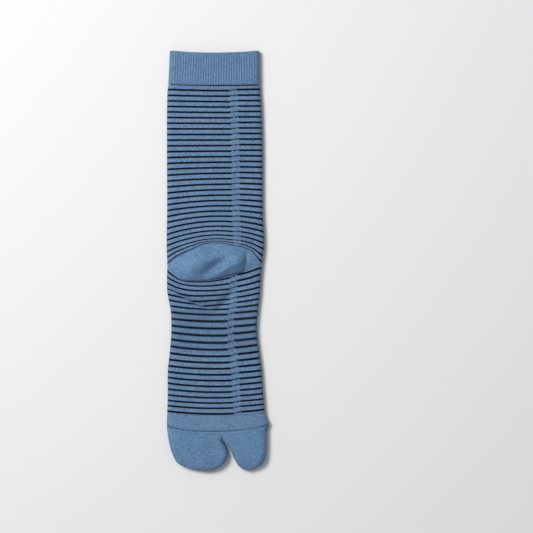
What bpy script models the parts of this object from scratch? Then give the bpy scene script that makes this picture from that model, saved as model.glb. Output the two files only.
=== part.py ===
"""Split-toe wool sock for a left foot, laid flat with its heel pocket up.

The sock is one knitted tube pressed flat, worked in ten pieces: a ribbed cuff, the leg, the heel
pocket, the rear foot, a ribbed arch band, the forefoot, a plain toe band, the toe base and two toe
pockets. It lies along Y with the cuff towards +Y, rests on z = 0, and the origin is under its middle.
"""

import math
from collections import namedtuple

import bmesh
import bpy

# Driving dimensions in metres. Lengths run along the side folds, from the cuff to the toes.
LEG_WIDTH = 0.0930
CUFF_HEIGHT = 0.0332
LEG_LENGTH = 0.1765
REAR_FOOT_LENGTH = 0.0420
ARCH_LENGTH = 0.0400
FOREFOOT_LENGTH = 0.0615
TOE_BAND_LENGTH = 0.0120
TOE_BASE_LENGTH = 0.0142
SMALL_TOES_LENGTH = 0.0299
BIG_TOE_LENGTH = 0.0289

# Fabric: each wall is one layer, and the hollow is the room left between the two layers.
CUFF_WALL = 0.0022
KNIT_WALL = 0.0018
TERRY_WALL = 0.0026
HOLLOW_HEIGHT = 0.0050
CROWN = 0.0006
FOLD_ROUNDING = 0.0058
JOIN_GAP = 0.0003

# Ribs run along the sock, and a rib's furrow is this much lower than its ridge.
CUFF_RIBS = 74
CUFF_RIB_DEPTH = 0.0005
ARCH_RIBS = 76
ARCH_RIB_DEPTH = 0.0004

# The heel pocket: its lens between leg and foot, and how high the bag stands on the leg. The bag folds
# over fully where its fullness times HEEL_FULL_FOLD reaches 1.
HEEL_RISE = 0.0210
HEEL_SAG = 0.0137
HEEL_TIP = 0.0008
HEEL_REACH = 0.0255
HEEL_STAND = 0.0090
HEEL_LIFT = 0.0026
HEEL_FULL_FOLD = 1.6

# Curves of the knitted courses, and the tuck that slants across the rear foot.
CUFF_DIP = 0.0017
FOOT_SAG = 0.0031
SEAM_SAG = 0.0054
SEAM_EASE = 0.0007
TUCK_DEPTH = 0.0017
TUCK_HALF_WIDTH = 0.0032
CROTCH_VALLEY = 0.0032
CROTCH_VALLEY_WIDTH = 0.0058

# Points round a tube: steps over each quarter of a side fold, over the top and over the underside.
FOLD_STEPS = 3
TOP_STEPS = 16
UNDER_STEPS = 8

# Rows of points along each piece, as shares of its length from the cuff's side.
CUFF_ROWS = (0.0, 0.04, 0.5, 0.96, 1.0)
LEG_ROWS = (0.0, 0.2, 0.4, 0.56, 0.68, 0.78, 0.86, 0.92, 0.96, 1.0)
TUCK_ROW = 0.62
REAR_FOOT_ROWS = (0.0, 0.16, 0.32, 0.46, 0.55, TUCK_ROW, 0.69, 0.8, 0.9, 1.0)
ARCH_STEPS = 3
FOREFOOT_STEPS = 6
TOE_BAND_ROWS = (0.0, 0.3, 0.6, 0.9, 1.0)
TOE_BASE_ROWS = (0.0, 0.1, 0.35, 0.6, 0.8, 1.0)
TOE_POCKET_ROWS = (0.0, 0.16, 0.32, 0.48, 0.64, 0.77, 0.87, 0.945, 0.985)

TUBE_HEIGHT = 2 * KNIT_WALL + HOLLOW_HEIGHT + CROWN

# The side folds. along: share of the piece's length. left, right: shares of LEG_WIDTH from the leg's
# centre line. height: share of TUBE_HEIGHT.
Section = namedtuple("Section", "piece along left right height")
SECTIONS = (
    Section("cuff", 0.00, -0.472, 0.467, 1.06),
    Section("cuff", 0.50, -0.479, 0.468, 1.09),
    Section("cuff", 1.00, -0.489, 0.471, 1.08),
    Section("leg", 0.10, -0.500, 0.484, 1.00),
    Section("leg", 0.35, -0.502, 0.498, 1.00),
    Section("leg", 0.70, -0.500, 0.502, 1.00),
    Section("leg", 0.90, -0.505, 0.514, 1.02),
    Section("rear_foot", 0.00, -0.498, 0.492, 1.04),
    Section("rear_foot", 0.30, -0.502, 0.480, 1.02),
    Section("rear_foot", 0.60, -0.498, 0.473, 1.00),
    Section("arch_band", 0.00, -0.465, 0.455, 1.00),
    Section("arch_band", 0.50, -0.456, 0.440, 1.00),
    Section("arch_band", 1.00, -0.470, 0.462, 1.00),
    Section("forefoot", 0.30, -0.492, 0.487, 1.00),
    Section("forefoot", 0.75, -0.494, 0.510, 1.02),
    Section("toe_band", 0.20, -0.500, 0.532, 1.06),
    Section("toe_band", 0.90, -0.503, 0.566, 1.11),
    Section("toe_base", 0.50, -0.494, 0.541, 1.18),
    Section("toe_base", 1.00, -0.484, 0.543, 1.18),
)

# Borders of the heel pocket on the upper layer. across: -1 at the left fold, 1 at the right.
# rise: share of HEEL_RISE. sag: share of HEEL_SAG. fullness: share of HEEL_STAND.
Border = namedtuple("Border", "across rise sag fullness")
HEEL_BORDERS = (
    Border(-1.00, 0.00, 0.00, 0.00),
    Border(-0.85, 0.27, 0.50, 0.14),
    Border(-0.70, 0.46, 0.84, 0.48),
    Border(-0.50, 0.66, 0.97, 0.92),
    Border(-0.32, 0.87, 1.00, 1.00),
    Border(-0.10, 1.00, 0.98, 0.84),
    Border(0.10, 1.00, 0.87, 0.66),
    Border(0.30, 0.92, 0.69, 0.74),
    Border(0.48, 0.84, 0.52, 0.86),
    Border(0.62, 0.78, 0.40, 0.42),
    Border(0.80, 0.50, 0.23, 0.12),
    Border(0.92, 0.14, 0.04, 0.03),
    Border(1.00, 0.00, 0.00, 0.00),
)

# The heel pocket's fold from leg to foot. toward_toe: share of the lens. height: share of the stand.
Fold = namedtuple("Fold", "toward_toe height")
HEEL_FOLDS = (
    Fold(0.00, 0.00),
    Fold(0.10, 0.13),
    Fold(0.21, 0.34),
    Fold(0.33, 0.59),
    Fold(0.47, 0.82),
    Fold(0.62, 0.97),
    Fold(0.77, 1.00),
    Fold(0.91, 0.88),
    Fold(1.02, 0.66),
    Fold(1.06, 0.42),
    Fold(1.03, 0.20),
    Fold(1.00, 0.00),
)

# The slanting tuck. across: as above. along: share of the rear foot. depth: share of TUCK_DEPTH.
Tuck = namedtuple("Tuck", "across along depth")
TUCK = (
    Tuck(-1.00, 0.50, 1.00),
    Tuck(-0.75, 0.55, 1.00),
    Tuck(-0.50, 0.63, 0.95),
    Tuck(-0.25, 0.76, 0.70),
    Tuck(0.00, 0.86, 0.15),
    Tuck(0.25, 0.74, 0.00),
    Tuck(0.60, 0.62, 0.00),
    Tuck(1.00, 0.62, 0.00),
)

# Toe pockets. along: share of the pocket's length. left, right: shares of LEG_WIDTH. height: share of
# the mouth's height.
Lobe = namedtuple("Lobe", "along left right height")
SMALL_TOES = (
    Lobe(0.00, -0.484, 0.0755, 1.00),
    Lobe(0.20, -0.470, 0.114, 1.00),
    Lobe(0.40, -0.450, 0.137, 1.00),
    Lobe(0.58, -0.425, 0.128, 0.98),
    Lobe(0.74, -0.392, 0.101, 0.88),
    Lobe(0.86, -0.318, 0.057, 0.72),
    Lobe(0.94, -0.232, 0.003, 0.52),
    Lobe(0.985, -0.155, -0.040, 0.28),
)
BIG_TOE = (
    Lobe(0.00, 0.0810, 0.543, 1.00),
    Lobe(0.20, 0.131, 0.542, 1.00),
    Lobe(0.40, 0.171, 0.540, 1.00),
    Lobe(0.58, 0.197, 0.533, 0.98),
    Lobe(0.73, 0.221, 0.514, 0.88),
    Lobe(0.85, 0.246, 0.480, 0.72),
    Lobe(0.94, 0.280, 0.428, 0.52),
    Lobe(0.985, 0.318, 0.384, 0.28),
)

PIECE_LENGTHS = {
    "rear_foot": REAR_FOOT_LENGTH,
    "arch_band": ARCH_LENGTH,
    "forefoot": FOREFOOT_LENGTH,
    "toe_band": TOE_BAND_LENGTH,
    "toe_base": TOE_BASE_LENGTH,
}

# Dyed colours, linear, and the roughness of the yarn.
BLUE = (0.126, 0.232, 0.390)
BLUE_TERRY = (0.107, 0.200, 0.343)
BLUE_AND_NAVY = (0.098, 0.176, 0.295)
YARN_ROUGHNESS = 0.92
SMOOTH_ANGLE = math.radians(50)


def clear_scene():
    for obj in list(bpy.data.objects):
        bpy.data.objects.remove(obj)


def piece_ends():
    """The y of each piece's ends, from the heel line at 0."""
    ends = {
        "cuff": (LEG_LENGTH + CUFF_HEIGHT, LEG_LENGTH),
        "leg": (LEG_LENGTH, 0.0),
    }
    start = 0.0
    for piece, length in PIECE_LENGTHS.items():
        ends[piece] = (start, start - length)
        start -= length
    return ends


def smooth_between(knots, values, at):
    """A cubic through (knot, value) pairs, flat beyond its ends."""
    if at <= knots[0]:
        return values[0]
    if at >= knots[-1]:
        return values[-1]
    i = max(k for k in range(len(knots) - 1) if knots[k] <= at)

    def slope(k):
        low, high = max(k - 1, 0), min(k + 1, len(knots) - 1)
        return (values[high] - values[low]) / (knots[high] - knots[low])

    span = knots[i + 1] - knots[i]
    t = (at - knots[i]) / span
    return (
        values[i] * (1 + 2 * t) * (1 - t) ** 2
        + slope(i) * span * t * (1 - t) ** 2
        + values[i + 1] * t * t * (3 - 2 * t)
        + slope(i + 1) * span * t * t * (t - 1)
    )


def column(rows, knot, name, at):
    return smooth_between([getattr(r, knot) for r in rows], [getattr(r, name) for r in rows], at)


def section_table(ends):
    """SECTIONS as metres: (y, left, right, height), from the toes up."""
    table = []
    for row in SECTIONS:
        start, end = ends[row.piece]
        y = start + (end - start) * row.along
        table.append((y, row.left * LEG_WIDTH, row.right * LEG_WIDTH, row.height * TUBE_HEIGHT))
    return sorted(table)


ENDS = piece_ends()
SECTION_TABLE = section_table(ENDS)
SECTION_KNOTS = [row[0] for row in SECTION_TABLE]


def section_at(y):
    return [smooth_between(SECTION_KNOTS, [row[i] for row in SECTION_TABLE], y) for i in (1, 2, 3)]


def fold_turns(steps_across, start, end):
    """Turns over one layer: close together on the two folds, even on the flat between."""
    quarter = [step / FOLD_STEPS for step in range(FOLD_STEPS)]
    flat = [1 + step / steps_across for step in range(steps_across)]
    last = [2 + step / FOLD_STEPS for step in range(FOLD_STEPS)]
    return [start + (end - start) * turn / 3 for turn in quarter + flat + last]


def plain_loop(top_steps=TOP_STEPS, under_steps=UNDER_STEPS):
    return fold_turns(top_steps, 0, 3) + fold_turns(under_steps, 3, 6)


def ribbed_loop(ribs):
    """Two even steps to each rib, measured along the fabric round the leg."""
    quarter = math.pi / 4 * (FOLD_ROUNDING + TUBE_HEIGHT / 2)
    flat = LEG_WIDTH - 2 * FOLD_ROUNDING
    layer = 2 * quarter + flat
    turns = []
    for step in range(2 * ribs):
        run = step / ribs * layer
        base = 0 if run < layer else 3
        run -= layer if base else 0
        if run < quarter:
            turns.append(base + run / quarter)
        elif run < quarter + flat:
            turns.append(base + 1 + (run - quarter) / flat)
        else:
            turns.append(base + 2 + (run - quarter - flat) / quarter)
    return turns


def across_and_level(turn, rounding):
    """Where a turn lies: 0 to 3 over the upper layer from the left fold, 3 to 6 back under it.

    across runs from -1 to 1 between the folds, and level from 0 on a fold to 1 on the flat. A fold is
    a quarter of an ellipse in each layer, rounding wide as a share of half the width.
    """
    side = 1 if turn <= 3 else -1
    along = turn if side > 0 else turn - 3
    if along < 1:
        angle = along * math.pi / 2
        across = -1 + rounding * (1 - math.cos(angle))
        level = math.sin(angle)
    elif along <= 2:
        across = (-1 + rounding) + (along - 1) * 2 * (1 - rounding)
        level = 1.0
    else:
        angle = (3 - along) * math.pi / 2
        across = 1 - rounding * (1 - math.cos(angle))
        level = math.sin(angle)
    return across * side, level, side


def tube_point(turn, line, inset, relief=None):
    """A point of the flattened tube, inset from its outside, on a course line that gives its y."""
    across, level, side = across_and_level(turn, 2 * FOLD_ROUNDING / LEG_WIDTH)
    left, right, height = section_at(line(across, side))
    half_width = (right - left) / 2
    inner_width = half_width - inset
    inner_across, level, side = across_and_level(turn, (FOLD_ROUNDING - inset) / inner_width)
    across = inner_across * inner_width / half_width
    y = line(across, side)
    half_height = (height - CROWN) / 2
    x = (left + right) / 2 + half_width * across
    z = half_height + side * (half_height - inset) * level
    if side > 0:
        z += CROWN * (1 - across * across)
        if relief:
            z += relief(across, y) * level
    return x, y, z


def heel_rise(across):
    """How far the leg's rim stands above the heel line."""
    return HEEL_TIP + (HEEL_RISE - HEEL_TIP) * column(HEEL_BORDERS, "across", "rise", across)


def heel_sag(across):
    """How far the foot's rim stands below the heel line."""
    return HEEL_TIP + (HEEL_SAG - HEEL_TIP) * column(HEEL_BORDERS, "across", "sag", across)


def fullness(across):
    return column(HEEL_BORDERS, "across", "fullness", across)


def cuff_line(share):
    """A course of the cuff, lower in the middle of both layers' width."""

    def y_of(across, side):
        start, end = ENDS["cuff"]
        y = start + (end + JOIN_GAP - start) * share
        return y - CUFF_DIP * (1 - across * across) * (side > 0)

    return y_of


def leg_line(share):
    """A course of the leg: level at the cuff, bowed up over the heel pocket near the heel."""

    def y_of(across, side):
        start, end = ENDS["leg"]
        y = start + (end + JOIN_GAP / 2 - start) * share
        if side < 0:
            return y
        fade = math.exp(-(1 - share) * LEG_LENGTH / HEEL_REACH)
        dip = CUFF_DIP * (1 - across * across) * max(0.0, 1 - 3 * share)
        return y + heel_rise(across) * fade - dip

    return y_of


def leg_lift(across, y):
    """The leg's upper layer lifts towards the bag that stands on its rim."""
    distance = y - JOIN_GAP / 2 - heel_rise(across)
    return HEEL_LIFT * fullness(across) * math.exp(-max(distance, 0.0) / HEEL_REACH)


def foot_line(piece, share):
    """A course of the foot: sagging under the heel pocket, then in one shallow curve."""

    def y_of(across, side):
        start, end = ENDS[piece]
        top_gap = JOIN_GAP / 2 if piece == "rear_foot" else JOIN_GAP
        place = share
        if piece == "rear_foot" and side > 0:
            place = share_past_tuck(share, across)
        y = start - top_gap + (end - start + top_gap) * place
        if side < 0:
            return y
        fade = math.exp(y / HEEL_REACH)
        last = smooth_between([ENDS["toe_band"][1], ENDS["toe_band"][0]], [SEAM_SAG, FOOT_SAG], y)
        return y - heel_sag(across) * fade - last * (1 - fade) * (1 - across * across)

    return y_of


def share_past_tuck(share, across):
    """Rows of the rear foot drawn together, so that one of them lies in the slanting tuck."""
    tuck = column(TUCK, "across", "along", across)
    if share < TUCK_ROW:
        return share * tuck / TUCK_ROW
    return 1 - (1 - share) * (1 - tuck) / (1 - TUCK_ROW)


def tuck_relief(across, y):
    tuck_y = foot_line("rear_foot", TUCK_ROW)(across, 1)
    depth = TUCK_DEPTH * column(TUCK, "across", "depth", across)
    return -depth * math.exp(-(((y - tuck_y) / TUCK_HALF_WIDTH) ** 2))


def base_line(share):
    """A course of the toe base: the seam's curve at the top, straight at the crotch."""

    def y_of(across, side):
        start, end = ENDS["toe_base"]
        y = start - JOIN_GAP + (end - start + JOIN_GAP) * share
        sag = SEAM_SAG * (1 - across * across) * (1 - share) ** 2
        return y - sag * (side > 0)

    return y_of


def crotch_valley(across, y):
    """The upper layer dips between the toes as the tube divides."""
    start, end = ENDS["toe_base"]
    share = min(max((start - y) / (start - end), 0.0), 1.0)
    left, right, _ = section_at(y)
    x = (left + right) / 2 + (right - left) / 2 * across
    crotch = (SMALL_TOES[0].right + BIG_TOE[0].left) / 2 * LEG_WIDTH
    return -CROTCH_VALLEY * share**2 * math.exp(-(((x - crotch) / CROTCH_VALLEY_WIDTH) ** 2))


def zip_loops(outer, inner, outer_turns, inner_turns):
    """Triangles and quads between two closed loops with points at different turns."""
    faces = []
    i = j = 0
    outer_turns = outer_turns + [outer_turns[0] + 6]
    inner_turns = inner_turns + [inner_turns[0] + 6]
    n, m = len(outer), len(inner)
    while i < n or j < m:
        if j == m or (i < n and outer_turns[i + 1] <= inner_turns[j + 1]):
            faces.append((outer[i], outer[(i + 1) % n], inner[j % m]))
            i += 1
        else:
            faces.append((outer[i % n], inner[(j + 1) % m], inner[j]))
            j += 1
    return faces


def skin_rows(bm, rows):
    """Quads between rows of points that close round the tube."""
    for above, below in zip(rows, rows[1:]):
        count = len(above)
        for k in range(count):
            bm.faces.new((above[k], above[(k + 1) % count], below[(k + 1) % count], below[k]))


def add_rows(bm, rows):
    return [[bm.verts.new(point) for point in row] for row in rows]


def finish_mesh(bm, name, colour):
    """The mesh as a named object with its own yarn material, its faces pointing out."""
    bmesh.ops.recalc_face_normals(bm, faces=bm.faces)
    mesh = bpy.data.meshes.new(name)
    bm.to_mesh(mesh)
    bm.free()
    mesh.shade_smooth()
    mesh.set_sharp_from_angle(angle=SMOOTH_ANGLE)
    mesh.materials.append(yarn_material(name + "_yarn", colour))
    obj = bpy.data.objects.new(name, mesh)
    bpy.context.collection.objects.link(obj)
    return obj


def yarn_material(name, colour):
    material = bpy.data.materials.new(name)
    material.use_nodes = True
    shader = material.node_tree.nodes["Principled BSDF"]
    shader.inputs["Base Color"].default_value = (*colour, 1)
    shader.inputs["Roughness"].default_value = YARN_ROUGHNESS
    shader.inputs["Metallic"].default_value = 0
    return material


def tube(name, colour, wall, lines, turns, relief=None, rib_depth=0.0, eased=()):
    """A flattened tube, open at both ends, with one row of points on each course line.

    Every second point of a ribbed tube lies rib_depth lower. A row in eased is rounded down to a seam.
    """
    inner_turns = plain_loop()
    outer_rows = []
    for index, line in enumerate(lines):
        ease = SEAM_EASE if index in eased else 0.0
        outer_rows.append(
            [
                tube_point(turn, line, ease + rib_depth * (k % 2), relief)
                for k, turn in enumerate(turns)
            ]
        )
    inner_rows = [[tube_point(turn, line, wall, relief) for turn in inner_turns] for line in lines]
    bm = bmesh.new()
    outer = add_rows(bm, outer_rows)
    inner = add_rows(bm, inner_rows)
    skin_rows(bm, outer)
    skin_rows(bm, inner)
    for end in (0, -1):
        for face in zip_loops(outer[end], inner[end], turns, inner_turns):
            bm.faces.new(face)
    return finish_mesh(bm, name, colour)


def heel_point(turn, fold_index, inset=0.0):
    """A point of the heel pocket on one of its folds from leg to foot, inset as a tube's is."""
    fold = HEEL_FOLDS[fold_index]
    even_share = fold_index / (len(HEEL_FOLDS) - 1)

    def line(across, _side):
        share = even_share + (fold.toward_toe - even_share) * min(1.0, HEEL_FULL_FOLD * fullness(across))
        top = heel_rise(across) - JOIN_GAP / 2
        bottom = -heel_sag(across) + JOIN_GAP / 2
        return top + (bottom - top) * share

    def relief(across, _y):
        lift = HEEL_LIFT * (1 - even_share) + HEEL_STAND * fold.height
        return lift * fullness(across)

    return tube_point(turn, line, inset, relief)


def heel_normals(rows):
    """Outward directions at the grid's points, from its neighbours."""
    normals = []
    last_row, last = len(rows) - 1, len(rows[0]) - 1
    for r, row in enumerate(rows):
        found = []
        for k in range(len(row)):
            low, high = row[max(k - 1, 0)], row[min(k + 1, last)]
            above, below = rows[max(r - 1, 0)][k], rows[min(r + 1, last_row)][k]
            run = [high[i] - low[i] for i in range(3)]
            fall = [below[i] - above[i] for i in range(3)]
            cross = (
                fall[1] * run[2] - fall[2] * run[1],
                fall[2] * run[0] - fall[0] * run[2],
                fall[0] * run[1] - fall[1] * run[0],
            )
            size = math.sqrt(sum(c * c for c in cross))
            found.append([c / size for c in cross])
        normals.append(found)
    return normals


def heel_pocket():
    """The terry bag set in between leg and foot, a shell open below."""
    turns = fold_turns(TOP_STEPS, 0, 3) + [3]
    folds = range(len(HEEL_FOLDS))
    rows = [[heel_point(turn, index) for turn in turns] for index in folds]
    normals = heel_normals(rows)
    inner_rows = []
    for index, row in enumerate(rows):
        rim = min(index, len(rows) - 1 - index)
        inner = []
        for turn, point, normal in zip(turns, row, normals[index]):
            level = across_and_level(turn, 2 * FOLD_ROUNDING / LEG_WIDTH)[1]
            tilt = min(1.0, rim / 2) * level
            below = heel_point(turn, index, TERRY_WALL)
            behind = [p - TERRY_WALL * n for p, n in zip(point, normal)]
            inner.append([b + (h - b) * tilt for b, h in zip(below, behind)])
        inner_rows.append(inner)
    bm = bmesh.new()
    outer = add_rows(bm, rows)
    inner = add_rows(bm, inner_rows)
    count = len(turns)
    for grid in (outer, inner):
        for above, below in zip(grid, grid[1:]):
            for k in range(count - 1):
                bm.faces.new((above[k], above[k + 1], below[k + 1], below[k]))
    outer_rim = rim_of(outer)
    inner_rim = rim_of(inner)
    for k in range(len(outer_rim)):
        after = (k + 1) % len(outer_rim)
        bm.faces.new((outer_rim[k], outer_rim[after], inner_rim[after], inner_rim[k]))
    return finish_mesh(bm, "heel_pocket", BLUE_TERRY)


def rim_of(grid):
    """The points round a grid's edge, in order."""
    return (
        grid[0]
        + [row[-1] for row in grid[1:-1]]
        + grid[-1][::-1]
        + [row[0] for row in grid[-2:0:-1]]
    )


def toe_pocket(name, lobes, length, turns):
    """A closed pocket for toes. Its hollow is its outside drawn in to leave the wall."""
    mouth_y = ENDS["toe_base"][1] - JOIN_GAP
    mouth_height = section_at(mouth_y)[2]
    mouth_width = (lobes[0].right - lobes[0].left) * LEG_WIDTH
    mouth_centre = (lobes[0].right + lobes[0].left) / 2 * LEG_WIDTH

    def loop(along, inset):
        left, right, height = (
            column(lobes, "along", "left", along) * LEG_WIDTH,
            column(lobes, "along", "right", along) * LEG_WIDTH,
            column(lobes, "along", "height", along) * mouth_height,
        )
        narrower = (mouth_width - 2 * inset) / mouth_width
        lower = (mouth_height - 2 * inset) / mouth_height
        half_width = (right - left) / 2 * narrower
        centre = mouth_centre + ((right + left) / 2 - mouth_centre) * narrower
        rounding = min(0.5, FOLD_ROUNDING / (mouth_width / 2))
        y = mouth_y - (length - JOIN_GAP - inset) * along
        points = []
        for turn in turns:
            across, level, side = across_and_level(turn, rounding)
            half_height = (height - CROWN) / 2 * lower
            rest = (mouth_height - CROWN) / 2
            crown = CROWN * (1 - across * across) * (side > 0)
            z = rest + side * half_height * level + crown
            points.append((centre + half_width * across, y, z))
        return points

    bm = bmesh.new()
    skins = []
    for inset in (0.0, TERRY_WALL):
        rows = [loop(along, inset) for along in TOE_POCKET_ROWS]
        last = rows[-1]
        skin = add_rows(bm, rows)
        skin_rows(bm, skin)
        middle = [sum(p[i] for p in last) / len(last) for i in range(3)]
        tip = bm.verts.new((middle[0], mouth_y - (length - JOIN_GAP - inset), middle[2]))
        for k in range(len(last)):
            bm.faces.new((skin[-1][k], skin[-1][(k + 1) % len(last)], tip))
        skins.append(skin)
    for face in zip_loops(skins[0][0], skins[1][0], turns, turns):
        bm.faces.new(face)
    return finish_mesh(bm, name, BLUE_TERRY)


def even(steps):
    return [step / steps for step in range(steps + 1)]


def build_sock():
    pieces = [
        tube(
            "cuff",
            BLUE,
            CUFF_WALL,
            [cuff_line(share) for share in CUFF_ROWS],
            ribbed_loop(CUFF_RIBS),
            rib_depth=CUFF_RIB_DEPTH,
            eased=(0, len(CUFF_ROWS) - 1),
        ),
        tube(
            "leg",
            BLUE_AND_NAVY,
            KNIT_WALL,
            [leg_line(share) for share in LEG_ROWS],
            plain_loop(),
            relief=leg_lift,
        ),
        heel_pocket(),
        tube(
            "rear_foot",
            BLUE_AND_NAVY,
            KNIT_WALL,
            [foot_line("rear_foot", share) for share in REAR_FOOT_ROWS],
            plain_loop(),
            relief=tuck_relief,
        ),
        tube(
            "arch_band",
            BLUE_AND_NAVY,
            KNIT_WALL,
            [foot_line("arch_band", share) for share in even(ARCH_STEPS)],
            ribbed_loop(ARCH_RIBS),
            rib_depth=ARCH_RIB_DEPTH,
        ),
        tube(
            "forefoot",
            BLUE_AND_NAVY,
            KNIT_WALL,
            [foot_line("forefoot", share) for share in even(FOREFOOT_STEPS)],
            plain_loop(),
        ),
        tube(
            "toe_band",
            BLUE,
            KNIT_WALL,
            [foot_line("toe_band", share) for share in TOE_BAND_ROWS],
            plain_loop(),
            eased=(len(TOE_BAND_ROWS) - 1,),
        ),
        tube(
            "toe_base",
            BLUE_TERRY,
            TERRY_WALL,
            [base_line(share) for share in TOE_BASE_ROWS],
            plain_loop(),
            relief=crotch_valley,
            eased=(0,),
        ),
        toe_pocket("small_toes_pocket", SMALL_TOES, SMALL_TOES_LENGTH, plain_loop(10, 6)),
        toe_pocket("big_toe_pocket", BIG_TOE, BIG_TOE_LENGTH, plain_loop(8, 4)),
    ]
    return pieces


def settle_on_origin(pieces):
    """Moves the sock so that the origin is under the middle of its outline."""
    points = [vertex.co for piece in pieces for vertex in piece.data.vertices]
    middle = [(min(p[i] for p in points) + max(p[i] for p in points)) / 2 for i in range(2)]
    lowest = min(p[2] for p in points)
    for piece in pieces:
        piece.location = (-middle[0], -middle[1], -lowest)


clear_scene()
settle_on_origin(build_sock())
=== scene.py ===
# Split-toe wool sock, laid flat with its heel pocket up
import math
from functools import partial
import bpy
import bmesh
import numpy as np
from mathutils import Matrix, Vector


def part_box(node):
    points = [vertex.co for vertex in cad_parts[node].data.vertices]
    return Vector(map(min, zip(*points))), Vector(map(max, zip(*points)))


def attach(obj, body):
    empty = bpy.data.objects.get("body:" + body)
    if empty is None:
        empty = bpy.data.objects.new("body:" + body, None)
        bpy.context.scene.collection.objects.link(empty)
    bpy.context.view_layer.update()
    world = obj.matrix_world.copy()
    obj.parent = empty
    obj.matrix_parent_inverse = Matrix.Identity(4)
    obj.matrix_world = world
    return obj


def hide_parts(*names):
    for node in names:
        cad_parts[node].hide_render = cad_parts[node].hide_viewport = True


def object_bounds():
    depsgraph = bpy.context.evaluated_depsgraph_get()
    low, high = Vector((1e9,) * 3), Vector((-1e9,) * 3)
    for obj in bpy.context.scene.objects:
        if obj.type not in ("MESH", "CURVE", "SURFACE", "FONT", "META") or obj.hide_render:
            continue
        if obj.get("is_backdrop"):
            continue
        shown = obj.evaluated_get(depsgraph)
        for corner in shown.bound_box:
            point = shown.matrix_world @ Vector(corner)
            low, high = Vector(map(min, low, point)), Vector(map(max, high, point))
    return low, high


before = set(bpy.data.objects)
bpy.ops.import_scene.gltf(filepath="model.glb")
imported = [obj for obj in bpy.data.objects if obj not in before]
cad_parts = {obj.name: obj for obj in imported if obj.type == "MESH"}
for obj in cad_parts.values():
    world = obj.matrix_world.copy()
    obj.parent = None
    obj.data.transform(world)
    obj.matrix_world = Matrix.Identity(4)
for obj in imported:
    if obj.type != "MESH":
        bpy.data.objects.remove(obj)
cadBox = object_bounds()

# The sock's own sizes, in metres. Lengths run along the side folds from the heel line.
sock = dict(
    legWidth=0.0930,
    leftReach=0.5053,    # the leg's furthest left, as a share of its width
    cuffHeight=0.0332,
    legLength=0.1765,
    rearFootLength=0.0420,
    archLength=0.0400,
    forefootLength=0.0615,
    toeBandLength=0.0120,
    toeBaseLength=0.0142,
    smallToesLength=0.0299,
    bigToeLength=0.0289,
    tubeHeight=0.0092,
    crown=0.0006,
    foldRounding=0.0058,
    wales=148,           # columns of stitches round the sock
    coursesPerStripe=7,  # two dark courses, then five blue ones
)
mm = 0.001
lattice = dict(cells=64, shiftX=17.3, shiftY=9.1)

# The heel line and the leg's centre line, read from the frame
legLow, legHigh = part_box("leg")
cuffLow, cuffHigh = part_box("cuff")
heelLineY = cuffHigh.y - sock["legLength"] - sock["cuffHeight"]
legCentreX = legLow.x + sock["leftReach"] * sock["legWidth"]

footParts = ("rearFootLength", "archLength", "forefootLength", "toeBandLength", "toeBaseLength")
lengths = [sock[part] for part in footParts]
archStart, forefootStart, toeBandStart, seamY, crotchY = -np.cumsum(lengths)
pieceEnds = dict(
    cuff=(sock["legLength"] + sock["cuffHeight"], sock["legLength"]),
    leg=(sock["legLength"], 0.0),
    rearFoot=(0.0, archStart),
    arch=(archStart, forefootStart),
    forefoot=(forefootStart, toeBandStart),
    toeBand=(toeBandStart, seamY),
    toeBase=(seamY, crotchY),
)


def curve(rows, column, at):
    # a cubic through the rows' (first column, column) pairs, flat beyond both ends
    rows = np.array(sorted(rows), float)
    knots, values = rows[:, 0], rows[:, column]
    slopes = np.gradient(values, knots)
    at = np.clip(at, knots[0], knots[-1])
    i = np.clip(np.searchsorted(knots, at) - 1, 0, len(knots) - 2)
    span = knots[i + 1] - knots[i]
    t = (at - knots[i]) / span
    return (
        values[i] * (1 + 2 * t) * (1 - t) ** 2
        + slopes[i] * span * t * (1 - t) ** 2
        + values[i + 1] * t * t * (3 - 2 * t)
        + slopes[i + 1] * span * t * t * (t - 1)
    )


def smoothStep(low, high, at):
    t = np.clip((at - low) / (high - low), 0, 1)
    return t * t * (3 - 2 * t)


def lumps(a, b, size, seed):
    # smooth random heights from -1 to 1, on a lattice of cells of the given size
    cells = lattice["cells"]
    grid = np.random.default_rng(seed).uniform(-1, 1, (cells, cells))
    a, b = a / size + lattice["shiftX"], b / size + lattice["shiftY"]
    i, j = np.floor(a).astype(int), np.floor(b).astype(int)
    u, v = a - i, b - j
    u, v = u * u * (3 - 2 * u), v * v * (3 - 2 * v)
    corner = lambda di, dj: grid[(i + di) % cells, (j + dj) % cells]
    near = corner(0, 0) * (1 - u) + corner(1, 0) * u
    far = corner(0, 1) * (1 - u) + corner(1, 1) * u
    return near * (1 - v) + far * v


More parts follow.
